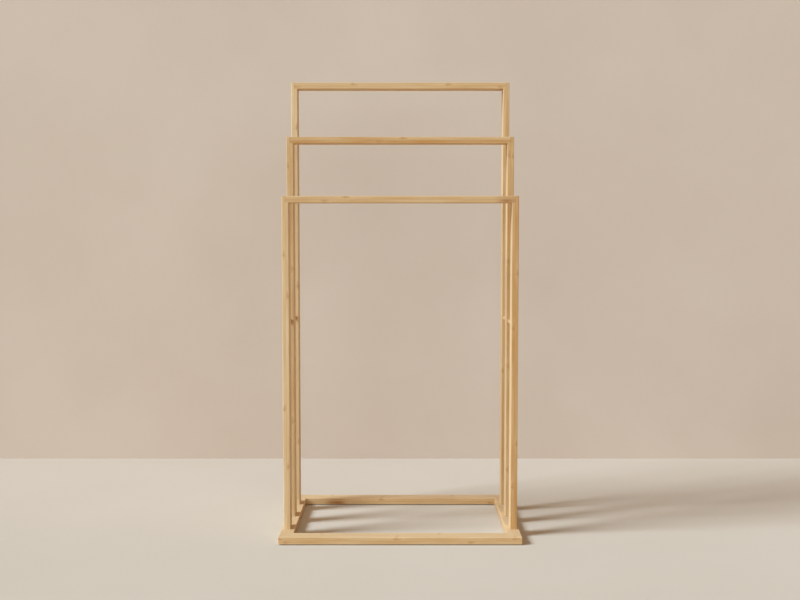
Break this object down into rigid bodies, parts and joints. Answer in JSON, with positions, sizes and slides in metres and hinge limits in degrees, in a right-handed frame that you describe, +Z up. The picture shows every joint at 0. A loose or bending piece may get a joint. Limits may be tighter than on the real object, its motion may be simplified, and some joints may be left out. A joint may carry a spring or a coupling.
{
  "type": "towel rack",
  "caption": "Free-standing bamboo towel rack: stepped upright frames of flat slats on a flat rectangular base, with cross bars to hang towels over.",
  "frame": {"origin": "on the floor, under the middle of the base", "axes": "+Z up, +Y to the back, +X to the right when seen from the front"},
  "size_m": [0.42, 0.3, 0.82],
  "materials": {
    "bamboo_slat": "satin clear lacquer on laminated bamboo",
    "bamboo_rod": "satin clear lacquer on a turned bamboo rod",
    "dowel_wood": "raw turned wood",
    "screw_steel": "zinc plated",
    "foot_pad": "matt foam rubber"
  },
  "bodies": {
    "root": {"base_front_rail": "bamboo_slat", "base_back_rail": "bamboo_slat", "base_left_rail": "bamboo_slat", "base_right_rail": "bamboo_slat", "front_left_post": "bamboo_slat", "front_right_post": "bamboo_slat", "middle_left_post": "bamboo_slat", "middle_right_post": "bamboo_slat", "back_left_post": "bamboo_slat", "back_right_post": "bamboo_slat", "front_towel_bar": "bamboo_slat", "middle_towel_bar": "bamboo_slat", "back_towel_bar": "bamboo_slat", "left_front_spacer": "bamboo_rod", "left_rear_spacer": "bamboo_rod", "right_front_spacer": "bamboo_rod", "right_rear_spacer": "bamboo_rod", "front_pads": "foot_pad", "back_pads": "foot_pad", "base_dowels": "dowel_wood", "post_screws": "screw_steel"}
  },
  "joints": []
}
